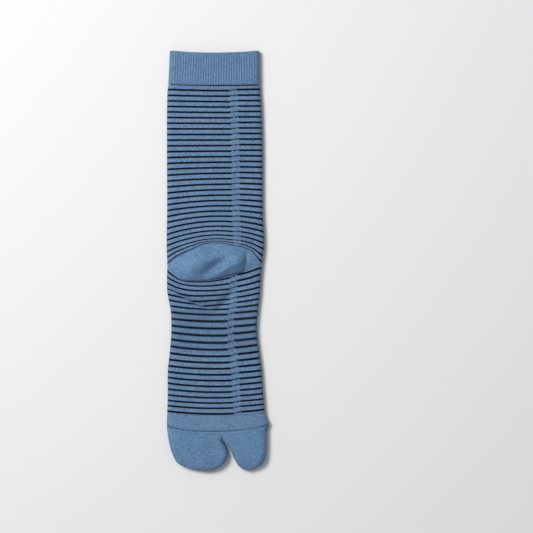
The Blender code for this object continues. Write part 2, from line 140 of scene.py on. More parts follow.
# Side folds. piece, share along it, then left and right as shares of the leg's width, and height as a
# share of the tube's
sections = [
    ("cuff", 0.00, -0.472, 0.467, 1.06),
    ("cuff", 0.50, -0.479, 0.468, 1.09),
    ("cuff", 1.00, -0.489, 0.471, 1.08),
    ("leg", 0.03, -0.495, 0.475, 1.02),
    ("leg", 0.10, -0.500, 0.484, 1.00),
    ("leg", 0.35, -0.502, 0.498, 1.00),
    ("leg", 0.70, -0.500, 0.502, 1.00),
    ("leg", 0.90, -0.505, 0.514, 1.02),
    ("rearFoot", 0.00, -0.498, 0.492, 1.04),
    ("rearFoot", 0.30, -0.502, 0.480, 1.02),
    ("rearFoot", 0.60, -0.498, 0.473, 1.00),
    ("arch", 0.00, -0.465, 0.455, 1.00),
    ("arch", 0.50, -0.456, 0.440, 1.00),
    ("arch", 1.00, -0.470, 0.462, 1.00),
    ("forefoot", 0.30, -0.492, 0.487, 1.00),
    ("forefoot", 0.75, -0.494, 0.510, 1.02),
    ("toeBand", 0.20, -0.500, 0.532, 1.06),
    ("toeBand", 0.90, -0.503, 0.566, 1.11),
    ("toeBase", 0.50, -0.494, 0.541, 1.18),
    ("toeBase", 1.00, -0.484, 0.543, 1.18),
]
sectionRows = [
    (
        pieceEnds[piece][0] + (pieceEnds[piece][1] - pieceEnds[piece][0]) * along,
        left * sock["legWidth"],
        right * sock["legWidth"],
        height * sock["tubeHeight"],
    )
    for piece, along, left, right, height in sections
]


def sectionAt(y):
    return [curve(sectionRows, column, y) for column in (1, 2, 3)]


def acrossAndLevel(turn, rounding):
    # turn 0 to 3 runs over the upper layer from the left fold, 3 to 6 back under it. across is -1 to 1
    # between the folds; level is 0 on a fold and 1 on the flat, by a quarter of an ellipse
    under = turn > 3
    along = np.where(under, turn - 3, turn)
    angle = np.where(along < 1, along, np.where(along > 2, 3 - along, 1)) * math.pi / 2
    flat = -1 + rounding + (np.clip(along, 1, 2) - 1) * 2 * (1 - rounding)
    bend = rounding * (1 - np.cos(angle))
    across = np.where(along < 1, -1 + bend, np.where(along > 2, 1 - bend, flat))
    side = np.where(under, -1.0, 1.0)
    return across * side, np.sin(angle), side


def turnsRound(count):
    # turns at even steps along the fabric, from the left fold over the top and back underneath
    quarter = math.pi / 4 * (sock["foldRounding"] + sock["tubeHeight"] / 2)
    flat = sock["legWidth"] - 2 * sock["foldRounding"]
    layer = 2 * quarter + flat
    run = np.arange(count) / count * 2 * layer
    base = np.where(run < layer, 0, 3)
    run = np.where(run < layer, run, run - layer)
    turn = np.where(run < quarter, run / quarter, 1 + (run - quarter) / flat)
    return base + np.where(run > quarter + flat, 2 + (run - quarter - flat) / quarter, turn)


def tubePoints(turn, line, inset, relief):
    # points of the flattened tube: line gives y from across and side, inset draws the skin in, and
    # relief lifts the upper layer
    across, level, side = acrossAndLevel(turn, 2 * sock["foldRounding"] / sock["legWidth"])
    y = line(across, side)
    left, right, height = sectionAt(y)
    halfWidth = (right - left) / 2 - inset
    innerAcross, level, side = acrossAndLevel(turn, (sock["foldRounding"] - inset) / halfWidth)
    halfHeight = (height - sock["crown"]) / 2
    x = (left + right) / 2 + halfWidth * innerAcross
    z = halfHeight + side * (halfHeight - inset) * level
    z = z + np.where(side > 0, sock["crown"] * (1 - across**2) + relief(across, y) * level, 0)
    return np.stack([x + legCentreX, y + heelLineY, z], -1)


def gridMesh(name, points, uv, wrap):
    # a mesh of quads from a grid of points (rows, columns, 3); wrap closes the columns into a tube
    rows, columns = points.shape[:2]
    r, c = np.meshgrid(np.arange(rows - 1), np.arange(columns - (0 if wrap else 1)), indexing="ij")
    after = (c + 1) % columns
    here, below = r * columns, (r + 1) * columns
    quads = np.stack([here + c, below + c, below + after, here + after], -1)
    u, v = uv
    corners = np.stack(
        [
            np.stack([u[r, c], v[r, c]], -1),
            np.stack([u[r + 1, c], v[r + 1, c]], -1),
            np.stack([u[r + 1, c + 1], v[r + 1, after]], -1),
            np.stack([u[r, c + 1], v[r, after]], -1),
        ],
        -2,
    )
    mesh = bpy.data.meshes.new(name)
    count = quads.reshape(-1, 4).shape[0]
    mesh.vertices.add(rows * columns)
    mesh.vertices.foreach_set("co", points.reshape(-1).astype(np.float32))
    mesh.loops.add(count * 4)
    mesh.loops.foreach_set("vertex_index", quads.reshape(-1).astype(np.int32))
    mesh.polygons.add(count)
    mesh.polygons.foreach_set("loop_start", np.arange(0, count * 4, 4, dtype=np.int32))
    mesh.update(calc_edges=True)
    layer = mesh.uv_layers.new(name="knit")
    layer.data.foreach_set("uv", corners.reshape(-1).astype(np.float32))
    mesh.validate()
    mesh.shade_smooth()
    return mesh


def addPiece(mesh, material, nodes, wall):
    # the mesh as a piece in place of its CAD nodes, thickened inwards by its wall
    piece = bpy.data.objects.new(mesh.name, mesh)
    bpy.context.collection.objects.link(piece)
    mesh.materials.append(material)
    thicken = piece.modifiers.new("wall", "SOLIDIFY")
    thicken.thickness = wall
    thicken.offset = -1
    thicken.use_rim = True
    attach(piece, "root")
    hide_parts(*nodes)
    return piece


# Courses: how the rows of stitches lie

heel = dict(
    stand=9.0 * mm,    # the bag above the leg
    lift=3.2 * mm,     # the leg's upper layer where it meets the bag
    reach=25.5 * mm,   # how far up the leg its lift fades
    fullFold=1.6,      # the bag folds over fully where its fullness times this reaches 1
    rimFade=(0.15, 0.12),  # shares of the bag over which its dents fade at the leg's and foot's rims
    endStripe=30.6,    # the leg ends this many stripes down
    startStripe=-0.5,  # the foot begins this far before its first stripe
    legFade=2.2,       # stripes over which the leg's courses leave the rim's shape
    footFade=1.6,      # and the foot's
)
# across, then shares: upper border's rise, lower border's sag, fullness of the bag
heelBorders = [
    (-1.00, 0.00, 0.00, 0.00),
    (-0.85, 0.27, 0.50, 0.06),
    (-0.70, 0.46, 0.84, 0.26),
    (-0.60, 0.56, 0.93, 0.56),
    (-0.50, 0.66, 0.97, 0.84),
    (-0.40, 0.77, 0.99, 0.97),
    (-0.30, 0.89, 1.00, 1.00),
    (-0.10, 1.00, 0.98, 0.88),
    (0.10, 1.00, 0.87, 0.80),
    (0.30, 0.92, 0.69, 0.84),
    (0.46, 0.85, 0.54, 0.88),
    (0.56, 0.81, 0.45, 0.72),
    (0.66, 0.74, 0.36, 0.34),
    (0.80, 0.50, 0.23, 0.14),
    (0.92, 0.14, 0.04, 0.04),
    (1.00, 0.00, 0.00, 0.00),
]

# leg stripe, then in mm: height above the heel line on the left and right folds, bow of its middle
legStripes = [
    (-0.8, 176.5, 175.8, -1.0),
    (0.0, 171.9, 171.2, -0.8),
    (5.0, 144.7, 144.4, -0.3),
    (10.0, 117.0, 117.3, 0.1),
    (15.0, 88.5, 89.8, 1.2),
    (20.0, 59.7, 62.1, 2.9),
    (23.0, 42.5, 44.6, 5.1),
    (25.0, 30.7, 32.6, 7.3),
    (27.0, 19.8, 21.6, 9.6),
    (28.0, 13.9, 15.8, 11.7),
    (29.0, 8.4, 9.3, 15.4),
    (30.0, 2.9, 3.2, 19.4),
    (30.6, 0.0, 0.0, 21.6),
]
# foot stripe, then in mm: distance below the heel line on the left and right folds, sag of its middle
footStripes = [
    (-0.5, 0.0, 0.0, 13.3),
    (0.0, 4.0, 2.8, 11.4),
    (1.0, 10.0, 9.3, 9.2),
    (2.0, 15.5, 15.5, 7.9),
    (3.0, 21.3, 21.4, 6.7),
    (4.0, 27.2, 27.2, 5.7),
    (5.0, 32.8, 32.8, 4.7),
    (6.0, 38.5, 38.6, 3.4),
    (7.0, 44.6, 44.7, 2.6),
    (9.0, 57.7, 58.1, 2.7),
    (12.0, 77.8, 77.9, 3.4),
    (15.0, 96.7, 96.6, 3.0),
    (18.0, 113.6, 113.9, 3.1),
    (20.0, 125.0, 125.0, 2.8),
    (23.0, 140.7, 140.5, 2.9),
    (23.4, 142.9, 142.8, 3.0),
]
# the slanting tuck: how far it draws down the courses above it, over which zone at its line, and how
# fast that fades; its depth and half-width; and the lip above it, placed and widened in half-widths
tuck = dict(
    shift=2.9 * mm, zone=2.4 * mm, fade=19 * mm, depth=3.1 * mm, halfWidth=3.0 * mm,
    lip=0.9 * mm, lipPlace=2.2, lipWidth=1.5,
)
# across, distance below the heel line in mm, shares of the shift and of the depth, widening in mm
tuckRows = [
    (-1.00, 21.5, 0.25, 0.4, 0.0),
    (-0.83, 24.6, 0.70, 0.8, 0.0),
    (-0.62, 30.5, 1.00, 1.0, 0.0),
    (-0.42, 35.5, 0.95, 1.0, 0.8),
    (-0.20, 40.0, 0.60, 1.0, 2.5),
    (0.00, 42.0, 0.20, 0.9, 4.5),
    (0.20, 41.0, 0.00, 0.7, 6.0),
    (0.40, 39.0, 0.00, 0.3, 6.5),
    (0.60, 38.0, 0.00, 0.0, 6.5),
    (1.00, 38.0, 0.00, 0.0, 6.5),
]


def dents(rows, x, y):
    # smooth oval dents and bumps: height * exp(-along^2 - aside^2), measured in half-lengths
    total = 0
    for centreX, centreY, longHalf, shortHalf, angle, height in rows:
        dx, dy = x - centreX * mm, y - centreY * mm
        along = (dx * math.cos(angle) + dy * math.sin(angle)) / (longHalf * mm)
        aside = (dy * math.cos(angle) - dx * math.sin(angle)) / (shortHalf * mm)
        total = total + height * mm * np.exp(-(along**2) - aside**2)
    return total


def softness(rows, x, y):
    # unevenness of cloth that lies loose
    return sum(height * mm * lumps(x, y, size * mm, seed) for height, size, seed in rows)


# height and size in mm, and the seed of the draws
legLumps = [(0.22, 24, 3), (0.10, 7, 4)]
footLumps = [(0.22, 20, 5), (0.10, 7, 6)]
cuffLumps = [(0.12, 12, 8)]
bandLumps = [(0.20, 12, 9)]
heelLumps = [(0.25, 6, 11)]
toeLumps = [(0.16, 2.2, 21), (0.25, 11, 22)]

# dents. centre from the leg's centre line and the heel line in mm, half-lengths in mm, angle, height in mm
legDents = [
    (-8.0, 41.0, 9.0, 4.0, 0.10, -0.9),
    (-30.0, 150.0, 14.0, 9.0, 0.40, -0.4),
    (22.0, 96.0, 16.0, 8.0, 0.20, -0.4),
]
footDents = [
    (11.5, -34.0, 17.0, 4.2, 0.85, -3.6),
    (-11.0, -27.0, 15.0, 7.0, -0.20, 1.0),
]
heelDents = [
    (2.0, 0.6, 14.0, 5.0, 0.56, -5.6),
    (16.3, 3.0, 4.5, 1.1, 0.10, -1.4),
    (11.2, -3.0, 13.0, 3.2, 0.53, 1.9),
    (-20.0, 4.5, 8.0, 6.5, 0.30, 0.8),
    (30.6, 6.0, 6.5, 1.6, 1.57, -1.8),
    (-26.4, 1.0, 7.0, 1.6, 1.15, -1.0),
]


def heelRise(across):
    return curve(heelBorders, 1, across)


def heelSag(across):
    return curve(heelBorders, 2, across)


def fullness(across):
    return curve(heelBorders, 3, across)


def legLine(stripe):
    # the y of a leg course: even on the folds, bowed over the heel pocket
    def line(across, side):
        left, right, bow = (curve(legStripes, column, stripe) * mm for column in (1, 2, 3))
        y = (left + right) / 2 + (right - left) / 2 * across * side
        near = np.exp(-(heel["endStripe"] - stripe) / heel["legFade"])
        shape = near * heelRise(across) + (1 - near) * (1 - across**2)
        return y + bow * np.where(side > 0, shape, (1 - across**2) * (bow < 0))

    return line


def footLine(stripe):
    # the y of a foot course: sagging under the heel pocket, pushed down into the slanting tuck
    def line(across, side):
        left, right, sag = (curve(footStripes, column, stripe) * mm for column in (1, 2, 3))
        y = -(left + right) / 2 - (right - left) / 2 * across * side
        near = np.exp(-(stripe - heel["startStripe"]) / heel["footFade"])
        shape = near * heelSag(across) + (1 - near) * (1 - across**2)
        top = y - sag * shape
        above = top + curve(tuckRows, 1, across) * mm
        strength = curve(tuckRows, 2, across)
        push = smoothStep(-tuck["zone"], tuck["zone"], above) * np.exp(-np.maximum(above, 0) / tuck["fade"])
        return np.where(side > 0, top - tuck["shift"] * strength * push, y)

    return line


def legRelief(across, y):
    # the upper layer lifts towards the bag, with soft dents elsewhere
    rim = heelRise(across) * legStripes[-1][3] * mm
    lift = heel["lift"] * fullness(across) * np.exp(-np.maximum(y - rim, 0) / heel["reach"])
    x = across * sock["legWidth"] / 2
    return lift + dents(legDents, x, y) + softness(legLumps, x, y)


def footRelief(across, y):
    # a furrow along the slanting tuck with a lip above it, and soft dents
    above = y + curve(tuckRows, 1, across) * mm + tuck["shift"] * 0.5
    depth = curve(tuckRows, 3, across)
    halfWidth = tuck["halfWidth"] + curve(tuckRows, 4, across) * mm * (above > 0)
    furrow = -tuck["depth"] * np.exp(-((above / halfWidth) ** 2))
    lipAt = (above - tuck["lipPlace"] * halfWidth) / (tuck["lipWidth"] * halfWidth)
    lip = tuck["lip"] * np.exp(-(lipAt**2))
    x = across * sock["legWidth"] / 2
    soft = dents(footDents, x, y) + softness(footLumps, x, y)
    return depth * (furrow + lip * curve(tuckRows, 2, across)) + soft


# Materials

def colour(hexText):
    # an sRGB hex colour as linear RGBA
    parts = [int(hexText[i:i + 2], 16) / 255 for i in (1, 3, 5)]
    return tuple(p / 12.92 if p <= 0.04045 else ((p + 0.055) / 1.055) ** 2.4 for p in parts) + (1,)


def addNode(tree, kind, inputs=(), out=0, **settings):
    # a node of this kind, or a Math node where kind is its operation. Its inputs, in order or by name, are
    # values or other nodes' outputs, and it gives back one output
    if not kind.startswith("ShaderNode"):
        kind, settings = "ShaderNodeMath", dict(operation=kind)
    node = tree.nodes.new(kind)
    for name, value in settings.items():
        setattr(node, name, value)
    for key, value in inputs.items() if isinstance(inputs, dict) else enumerate(inputs):
        if isinstance(value, bpy.types.NodeSocket):
            tree.links.new(value, node.inputs[key])
        else:
            node.inputs[key].default_value = value
    return node.outputs[out]


# wool: nearly no gloss, and a slight halo of loose fibres
wool = dict(ior=1.45, specular=0.2, sheenRoughness=0.5, sheenTint="#a9c3e0")
yarn = dict(
    blueLight="#85a5ca", blueDeep="#53759b", terryDeep="#47668a", terryLight="#7395b6", navy="#01040b",
)
# sizes of what shows in the yarn: flecks of fibres spun together, their patches, breaks in the thin
# course of the yarn change, the fuzz of single fibres, and the loops of terry
grain = dict(
    fleck=1.4 * mm, patch=22 * mm, broken=2.4 * mm, fuzz=0.4 * mm,
    loop=1.2 * mm, terryFleck=1.8 * mm, terryPatch=16 * mm,
)
# the yarn change: its middle column counted from the left fold over the top, its drift in columns a
# course, and the half-width of the band in columns
join = dict(wale=51.9, drift=0.004, fromColumn=-3.2, toColumn=2.5, inner=2.6, outer=3.2)
# the dark stripe, in courses: its middle, half its width, what the yarn change takes off it, its edge
stripe = dict(centre=1.0, half=1.5, joinThinner=0.55, edge=0.12)


def startMaterial(name, roughness, sheen):
    # wool yarn scatters light at all angles, with a pale halo of loose fibres at grazing ones
    material = bpy.data.materials.new(name)
    material.use_nodes = True
    tree = material.node_tree
    shader = tree.nodes["Principled BSDF"]
    shader.inputs["Roughness"].default_value = roughness
    shader.inputs["IOR"].default_value = wool["ior"]
    shader.inputs["Specular IOR Level"].default_value = wool["specular"]
    shader.inputs["Sheen Weight"].default_value = sheen
    shader.inputs["Sheen Roughness"].default_value = wool["sheenRoughness"]
    shader.inputs["Sheen Tint"].default_value = colour(wool["sheenTint"])
    return material, tree, shader


def knitMaterial(name, striped, zigzag, jog, bumpDepth, ribShade=0.0):
    # plain knit: columns of V-shaped stitches. u counts columns of stitches and v counts courses, so
    # one unit of each is one stitch, 1.35 mm by 0.8 mm
    material, tree, shader = startMaterial(name, roughness=0.9, sheen=0.1)
    add = partial(addNode, tree)
    knit = add("ShaderNodeUVMap", uv_map="knit")
    u, v = add("ShaderNodeSeparateXYZ", [knit]).node.outputs[:2]
    fromMiddle = add("ABSOLUTE", [add("SUBTRACT", [add("FRACT", [u]), 0.5])])
    # each stitch has two slanting legs: the height is round across a leg and dips between courses
    legAcross = add("MULTIPLY", [add("ABSOLUTE", [add("SUBTRACT", [fromMiddle, 0.25])]), 4.0])
    slanted = add("ADD", [v, add("MULTIPLY", [fromMiddle, 1.3])])
    alongLeg = add("SINE", [add("MULTIPLY", [add("FRACT", [slanted]), math.pi])])
    roundLeg = add("SUBTRACT", [1.0, add("MULTIPLY", [legAcross, legAcross])])
    stitch = add("MULTIPLY", [add("POWER", [alongLeg, 0.6]), roundLeg])
    # a rib is two columns wide: its furrow gets painted shade, and its courses stand in points
    inRib = add("FRACT", [add("ADD", [add("MULTIPLY", [u, 0.5]), 0.5])])
    rib = add("ABSOLUTE", [add("SUBTRACT", [inRib, 0.5])])
    tooth = add("SUBTRACT", [add("MULTIPLY", [rib, 2.0]) if ribShade else fromMiddle, 0.5])
    # melange: fibres of paler and deeper blue spun together, in patches a few stitches long
    objectCo = add("ShaderNodeTexCoord", out="Object")
    fleck = add("ShaderNodeTexNoise", {"Vector": objectCo, "Scale": 1 / grain["fleck"], "Detail": 3.0})
    patch = add("ShaderNodeTexNoise", {"Vector": objectCo, "Scale": 1 / grain["patch"], "Detail": 2.0})
    tone = add("ADD", [add("MULTIPLY", [fleck, 0.9]), add("MULTIPLY", [patch, 0.12])])
    blue = add("ShaderNodeMapRange", [tone, 0.30, 0.72])
    paleAndDeep = {0: blue, 6: colour(yarn["blueDeep"]), 7: colour(yarn["blueLight"])}
    mixed = add("ShaderNodeMix", paleAndDeep, out=2, data_type="RGBA")
    # painted shade and highlight: the colour darkens in the dips between the stitches' legs, lightens a
    # little on their crowns, and darkens in the rib's furrows by ribShade
    shade = add("ShaderNodeMapRange", [stitch, 0.0, 0.7, 0.80, 1.04])
    furrow = add("SUBTRACT", [1.0, add("MULTIPLY", [add("MULTIPLY", [rib, 2.0]), ribShade])])
    shade = add("MULTIPLY", [shade, furrow])
    mixed = add("ShaderNodeMix", {0: 1.0, 6: mixed, 7: shade}, out=2, data_type="RGBA", blend_type="MULTIPLY")
    if striped:
        # the yarns change over six columns of the knitting: the courses past them lie a little apart,
        # and within them the dark stripe is one thin, broken course
        fromJoin = add("SUBTRACT", [u, add("ADD", [add("MULTIPLY", [v, join["drift"]]), join["wale"]])])
        past = add("ShaderNodeMapRange", [fromJoin, join["fromColumn"], join["toColumn"]])
        upperLayer = add("LESS_THAN", [u, sock["wales"] / 2])
        apart = add("MULTIPLY", [add("MULTIPLY", [past, jog]), upperLayer])
        offJoin = add("ABSOLUTE", [fromJoin])
        within = add("ShaderNodeMapRange", [offJoin, join["inner"], join["outer"], 1.0, 0.0])
        course = add("ADD", [add("ADD", [v, apart]), add("MULTIPLY", [tooth, zigzag])])
        repeat = float(sock["coursesPerStripe"])
        inStripe = add("MULTIPLY", [add("FRACT", [add("DIVIDE", [course, repeat])]), repeat])
        middle = add("ABSOLUTE", [add("SUBTRACT", [inStripe, stripe["centre"]])])
        half = add("SUBTRACT", [stripe["half"], add("MULTIPLY", [within, stripe["joinThinner"]])])
        inside = add("SUBTRACT", [half, middle])
        dark = add("ShaderNodeMapRange", [inside, -stripe["edge"], stripe["edge"]])
        broken = add("ShaderNodeTexNoise", {"Vector": objectCo, "Scale": 1 / grain["broken"], "Detail": 1.0})
        thin = add("ShaderNodeMapRange", [broken, 0.40, 0.62, 0.1, 0.5])
        keep = add("SUBTRACT", [1.0, add("MULTIPLY", [within, thin])])
        striping = {0: add("MULTIPLY", [dark, keep]), 6: mixed, 7: colour(yarn["navy"])}
        mixed = add("ShaderNodeMix", striping, out=2, data_type="RGBA")
    tree.links.new(mixed, shader.inputs["Base Color"])
    fuzz = add("ShaderNodeTexNoise", {"Vector": objectCo, "Scale": 1 / grain["fuzz"], "Detail": 2.0})
    height = add("ADD", [stitch, add("MULTIPLY", [fuzz, 0.35])])
    bump = add("ShaderNodeBump", {"Height": height, "Distance": bumpDepth, "Strength": 0.8})
    tree.links.new(bump, shader.inputs["Normal"])
    return material


def terryMaterial(name):
    # terry: the inner loops stand through the knit, so the face is pebbled at about 1 mm and soft
    material, tree, shader = startMaterial(name, roughness=0.95, sheen=0.15)
    add = partial(addNode, tree)
    objectCo = add("ShaderNodeTexCoord", out="Object")
    loops = {"Vector": objectCo, "Scale": 1 / grain["loop"], "Randomness": 0.8}
    pebble = add("ShaderNodeTexVoronoi", loops, out="Distance", feature="SMOOTH_F1")
    fleck = add("ShaderNodeTexNoise", {"Vector": objectCo, "Scale": 1 / grain["terryFleck"], "Detail": 3.0})
    patch = add("ShaderNodeTexNoise", {"Vector": objectCo, "Scale": 1 / grain["terryPatch"], "Detail": 2.0})
    tone = add("ADD", [add("MULTIPLY", [fleck, 0.8]), add("MULTIPLY", [patch, 0.3])])
    blend = add("ShaderNodeMapRange", [tone, 0.28, 0.80])
    deepAndPale = {0: blend, 6: colour(yarn["terryDeep"]), 7: colour(yarn["terryLight"])}
    mixed = add("ShaderNodeMix", deepAndPale, out=2, data_type="RGBA")
    tree.links.new(mixed, shader.inputs["Base Color"])
    height = add("SUBTRACT", [add("MULTIPLY", [fleck, 0.6]), pebble])
    bump = add("ShaderNodeBump", {"Height": height, "Distance": 0.7 * mm, "Strength": 0.7})
    tree.links.new(bump, shader.inputs["Normal"])
    return material


# name, striped, height of the courses' points, step past the yarn change, depth of the stitches, painted
# shade in the rib's furrows
plainKnit = knitMaterial("plainKnitBlueWool", False, 0.0, 0.0, 0.4 * mm)
ribKnit = knitMaterial("ribKnitBlueWool", False, 0.0, 0.0, 0.3 * mm, 0.2)
stripedLeg = knitMaterial("stripedKnitWoolLeg", True, 0.5, 1.2, 0.4 * mm)
stripedFoot = knitMaterial("stripedKnitWoolFoot", True, 0.5, 1.6, 0.4 * mm)
stripedArch = knitMaterial("stripedRibWoolArch", True, -1.2, 1.6, 0.3 * mm, 0.25)
terryHeel = terryMaterial("terryWoolHeel")
terryToe = terryMaterial("terryWoolToe")
print("materials ready")


# Tubes

def stackedLines(lineAt, values):
    # the y of every row at once: values is one number a row
    return lambda across, side: lineAt(values[:, None])(across, side)


def tubePiece(
    name, node, material, lineAt, rows, columns, relief, wall, inset=None, wales=sock["wales"]
):
    # rows holds one value a row, which lineAt turns to its y, and the course it is
    values, courses = rows
    turn = np.broadcast_to(turnsRound(columns), (len(values), columns))
    insets = np.zeros((len(values), columns)) if inset is None else inset(turn)
    points = tubePoints(turn, stackedLines(lineAt, values), insets, relief)
    u = np.broadcast_to(np.arange(columns + 1) / columns * wales, (len(values), columns + 1))
    v = np.broadcast_to(courses[:, None], (len(values), columns))
    mesh = gridMesh(name, points, (u, v), True)
    return addPiece(mesh, material, [node], wall)


def stripeRows(first, last, count):
    stripes = np.linspace(first, last, count)
    return stripes, stripes * sock["coursesPerStripe"] + 1


def cuffRelief(across, y):
    return softness(cuffLumps, across * sock["legWidth"] / 2, y)


cuff = dict(
    ribs=74, ribDepth=0.65 * mm, rows=64, columnsPerRib=6, wall=2.2 * mm, course=0.8 * mm,
    rimRounding=1.6 * mm, rimDraw=1.3 * mm,  # how far the rim turns in, along and into the wall
    crowding=0.45,                           # how much closer the rows lie at both rims
    dip=2.1 * mm, lowerDip=0.9 * mm,         # the middle of its upper and lower edges
)


def ribWave(columns, ribs, depth):
    # rounded ribs: depth * (0.5 - 0.5 cos phase)^0.8, from 0 on a ridge
    phase = np.arange(columns) / columns * ribs * 2 * math.pi
    return depth * (0.5 - 0.5 * np.cos(phase)) ** 0.8


def cuffLine(share):
    def line(across, side):
        start, end = pieceEnds["cuff"]
        bow = (cuff["dip"] + (cuff["lowerDip"] - cuff["dip"]) * share) * (1 - across**2)
        return start + (end - start) * share - bow

    return line


# more rows where the welt turns in at its two edges
rowWave = np.cos(math.pi * np.linspace(0, 1, cuff["rows"]))
cuffShares = 0.5 - 0.5 * rowWave * (1 - cuff["crowding"] * (1 - np.abs(rowWave)))


def cuffInset(turn):
    # the ribs, drawn in at both edges of the welt by a quarter of a circle
    edge = np.minimum(cuffShares, 1 - cuffShares) * sock["cuffHeight"] / cuff["rimRounding"]
    rounding = 1 - np.sqrt(1 - (1 - np.clip(edge, 0, 1)) ** 2)
    ribs = ribWave(turn.shape[1], cuff["ribs"], cuff["ribDepth"])
    return ribs[None, :] + cuff["rimDraw"] * rounding[:, None]


tubePiece(
    "cuffWelt", "cuff", ribKnit, cuffLine,
    (cuffShares, cuffShares * sock["cuffHeight"] / cuff["course"]),
    cuff["ribs"] * cuff["columnsPerRib"], cuffRelief, cuff["wall"], cuffInset,
)
print("cuff ready")

leg = dict(rows=220, columns=222, wall=1.8 * mm, firstStripe=-0.72)
tubePiece(
    "legKnit", "leg", stripedLeg, legLine,
    stripeRows(leg["firstStripe"], heel["endStripe"], leg["rows"]), leg["columns"], legRelief, leg["wall"],
)
print("leg ready")

foot = dict(
    columns=296, rearRows=80, archRows=60, foreRows=90, wall=1.8 * mm,
    archStripe=6.5, foreStripe=12.55, bandStripe=23.4,  # where each part begins, in stripes
    archRibs=76, columnsPerRib=5, archRibDepth=0.45 * mm, ribFade=12,
)
tubePiece(
    "rearFootKnit", "rear_foot", stripedFoot, footLine,
    stripeRows(heel["startStripe"], foot["archStripe"], foot["rearRows"]),
    foot["columns"], footRelief, foot["wall"],
)


def archInset(turn):
    # ribs fade in and out over a twelfth of the arch at both ends
    rows, columns = turn.shape
    fade = np.sin(np.clip(np.linspace(0, 1, rows) * foot["ribFade"], 0, 1) * math.pi / 2)
    ribs = ribWave(columns, foot["archRibs"], foot["archRibDepth"])
    return ribs[None, :] * (fade * fade[::-1])[:, None]


tubePiece(
    "archRib", "arch_band", stripedArch, footLine,
    stripeRows(foot["archStripe"], foot["foreStripe"], foot["archRows"]),
    foot["archRibs"] * foot["columnsPerRib"], footRelief, foot["wall"], archInset, 2 * foot["archRibs"],
)
tubePiece(
    "forefootKnit", "forefoot", stripedFoot, footLine,
    stripeRows(foot["foreStripe"], foot["bandStripe"], foot["foreRows"]),
    foot["columns"], footRelief, foot["wall"],
)
print("foot ready")

# The linking seam: its curve on the upper layer, and the tucks at its two ends
seam = dict(
    y=-155.6 * mm, sag=5.3 * mm, sagPower=2.6, tilt=0.7 * mm, groove=1.5 * mm, grooveWidth=0.9 * mm,
    tuckDepth=2.2 * mm, tuckAcross=0.94, tuckHalfAcross=0.06, tuckHalfLength=1.5 * mm,
    rows=34, crowding=1.5, courses=18,
)


def seamLine(across, side):
    y = seam["y"] + seam["tilt"] * across
    return y - np.where(side > 0, seam["sag"] * (1 - np.abs(across) ** seam["sagPower"]), 0)


def bandLine(share):
    # from the last striped course to the seam
    def line(across, side):
        start = footLine(np.full_like(share, foot["bandStripe"]))(across, side)
        return start + (seamLine(across, side) - start) * share

    return line


def seamTucks(across, distance):
    # the seam turns in at its two ends
    aside = (np.abs(across) - seam["tuckAcross"]) / seam["tuckHalfAcross"]
    return -seam["tuckDepth"] * np.exp(-(aside**2) - (distance / seam["tuckHalfLength"]) ** 2)


def bandRelief(across, y):
    distance = y - seamLine(across, 1)
    roll = -seam["groove"] * np.exp(-np.maximum(distance, 0) / seam["grooveWidth"])
    return roll + seamTucks(across, distance) + softness(bandLumps, across * sock["legWidth"] / 2, y)


bandShares = 1 - (1 - np.linspace(0, 1, seam["rows"])) ** seam["crowding"]
tubePiece(
    "toeBandKnit", "toe_band", plainKnit, bandLine,
    (bandShares, bandShares * seam["courses"]), foot["columns"], bandRelief, foot["wall"],
)
print("toe band ready")

# Heel pocket
# share of its rows, then shares of the way from the leg's rim to the foot's and of the stand
heelFolds = [
    (0.00, 0.00, 0.00),
    (0.09, 0.10, 0.19),
    (0.18, 0.20, 0.46),
    (0.27, 0.31, 0.74),
    (0.36, 0.42, 0.94),
    (0.46, 0.53, 1.00),
    (0.55, 0.64, 0.95),
    (0.64, 0.75, 0.82),
    (0.73, 0.85, 0.65),
    (0.82, 0.94, 0.45),
    (0.91, 1.00, 0.22),
    (1.00, 1.00, 0.00),
]
pocket = dict(columns=210, rows=110, wall=2.4 * mm)


def heelPocket():
    # across from fold to fold, and from the leg's rim over the bag to the foot's rim, where its side
    # profile falls steeply; dents and ridges are rounded bumps on it
    half = turnsRound(2 * pocket["columns"])[: pocket["columns"] + 1]
    turn = np.broadcast_to(half, (pocket["rows"], pocket["columns"] + 1))
    share = np.linspace(0, 1, pocket["rows"])[:, None]

    def line(across, side):
        top = legLine(np.full_like(share, heel["endStripe"]))(across, side)
        bottom = footLine(np.full_like(share, heel["startStripe"]))(across, side)
        toward = curve(heelFolds, 1, share)
        toward = share + (toward - share) * np.minimum(1, heel["fullFold"] * fullness(across))
        return top + (bottom - top) * toward

    def relief(across, y):
        full = fullness(across)
        bag = heel["stand"] * curve(heelFolds, 2, share) + heel["lift"] * (1 - share)
        x = across * sock["legWidth"] / 2
        legFade, footFade = heel["rimFade"]
        inside = smoothStep(0, legFade, share) * smoothStep(1, 1 - footFade, share)
        return bag * full + inside * (dents(heelDents, x, y) + softness(heelLumps, x, y))

    points = tubePoints(turn, line, 0.0, relief)
    u = np.broadcast_to(np.arange(pocket["columns"] + 1.0), turn.shape)
    v = np.broadcast_to(share * pocket["rows"], turn.shape)
    mesh = gridMesh("heelPocketTerry", points, (u, v), False)
    return addPiece(mesh, terryHeel, ["heel_pocket"], pocket["wall"])


heelPocket()
print("heel ready")

